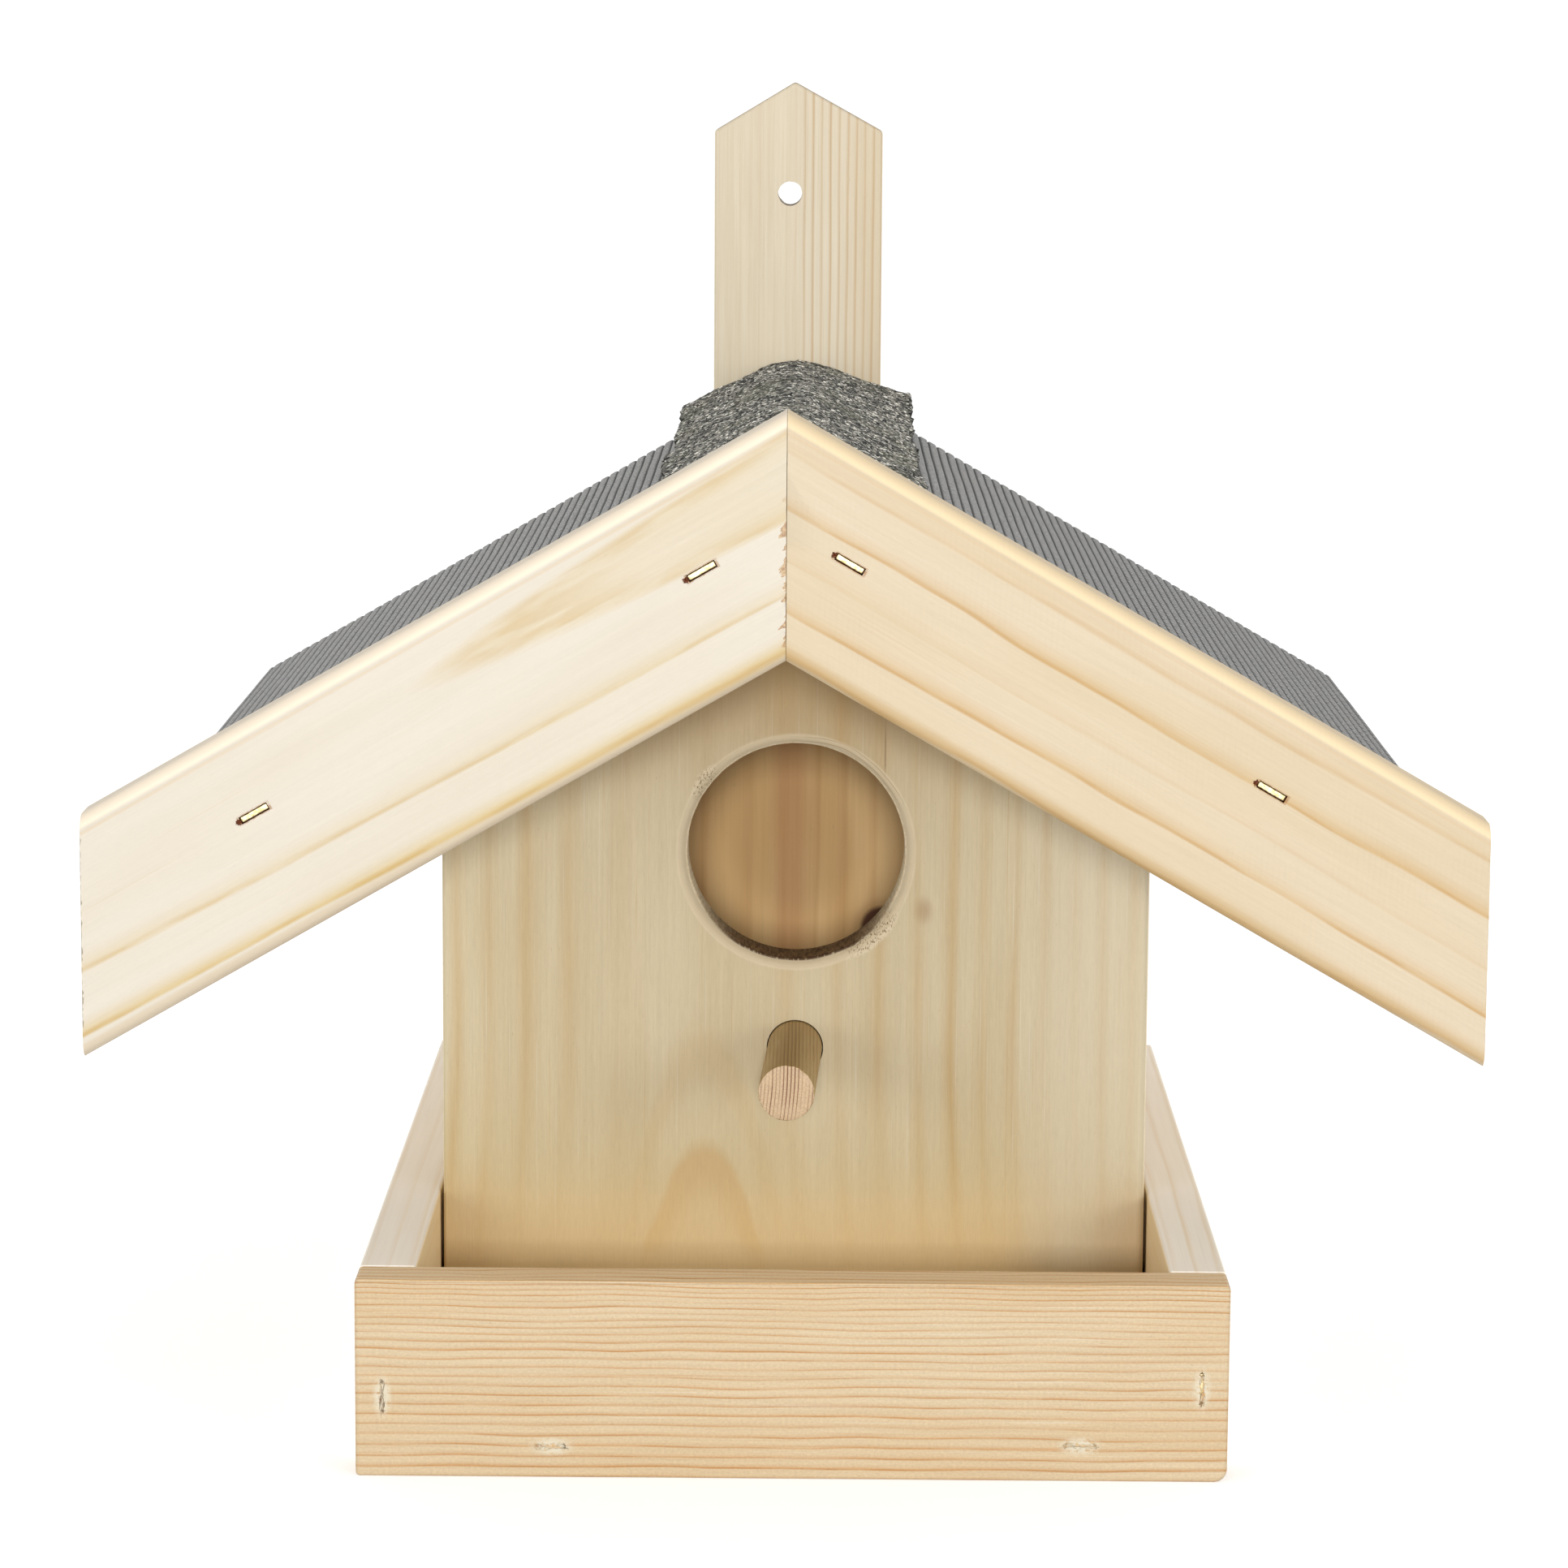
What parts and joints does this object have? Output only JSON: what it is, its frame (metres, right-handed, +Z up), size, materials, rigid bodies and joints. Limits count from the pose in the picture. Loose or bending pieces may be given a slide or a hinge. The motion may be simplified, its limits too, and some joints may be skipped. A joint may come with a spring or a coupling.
{
  "type": "hanging birdhouse with feeding tray",
  "caption": "Softwood nest box in a low feeding tray under a felted saddle roof, with a round entrance, a perch and a batten to hang it by.",
  "frame": {"origin": "middle of the tray's underside", "axes": "+Z up, +Y from the front (entrance side) to the back (batten side), +X to the right seen from the front"},
  "size_m": [0.233, 0.233, 0.2372],
  "materials": {
    "softwood": "planed, unfinished, pale with soft figure",
    "pale_softwood": "planed, unfinished, nearly white",
    "ringed_softwood": "planed, unfinished, close orange growth rings",
    "dowel_wood": "turned, unfinished",
    "ribbed_felt": "matt grey roofing felt with fine ribs",
    "mineral_felt": "mineral-granule roofing felt",
    "staple_wire": "brass-coloured coating, slightly dull"
  },
  "bodies": {
    "root": {"tray_base": "softwood", "tray_front": "ringed_softwood", "tray_side_left": "pale_softwood", "tray_side_right": "pale_softwood", "front_panel": "softwood", "rear_wall": "softwood", "side_wall_left": "softwood", "side_wall_right": "softwood", "perch": "dowel_wood", "roof_board_left": "softwood", "roof_board_right": "softwood", "roof_felt_left": "ribbed_felt", "roof_felt_right": "ribbed_felt", "ridge_felt": "mineral_felt", "gable_board_left": "pale_softwood", "gable_board_right": "softwood", "hanging_batten": "softwood", "base_staple_left_front": "staple_wire", "base_staple_left_rear": "staple_wire", "base_staple_right_front": "staple_wire", "base_staple_right_rear": "staple_wire", "batten_staple_lower": "staple_wire", "batten_staple_middle": "staple_wire", "batten_staple_upper": "staple_wire", "gable_staple_left_lower": "staple_wire", "gable_staple_left_upper": "staple_wire", "gable_staple_right_lower": "staple_wire", "gable_staple_right_upper": "staple_wire", "rear_wall_staple_left_lower": "staple_wire", "rear_wall_staple_left_upper": "staple_wire", "rear_wall_staple_right_lower": "staple_wire", "rear_wall_staple_right_upper": "staple_wire", "roof_staple_left_front": "staple_wire", "roof_staple_left_rear": "staple_wire", "roof_staple_right_front": "staple_wire", "roof_staple_right_rear": "staple_wire", "tray_front_staple_left_base": "staple_wire", "tray_front_staple_left_end": "staple_wire", "tray_front_staple_right_base": "staple_wire", "tray_front_staple_right_end": "staple_wire", "tray_side_staple_left_front": "staple_wire", "tray_side_staple_left_rear": "staple_wire", "tray_side_staple_right_front": "staple_wire", "tray_side_staple_right_rear": "staple_wire"}
  },
  "joints": []
}
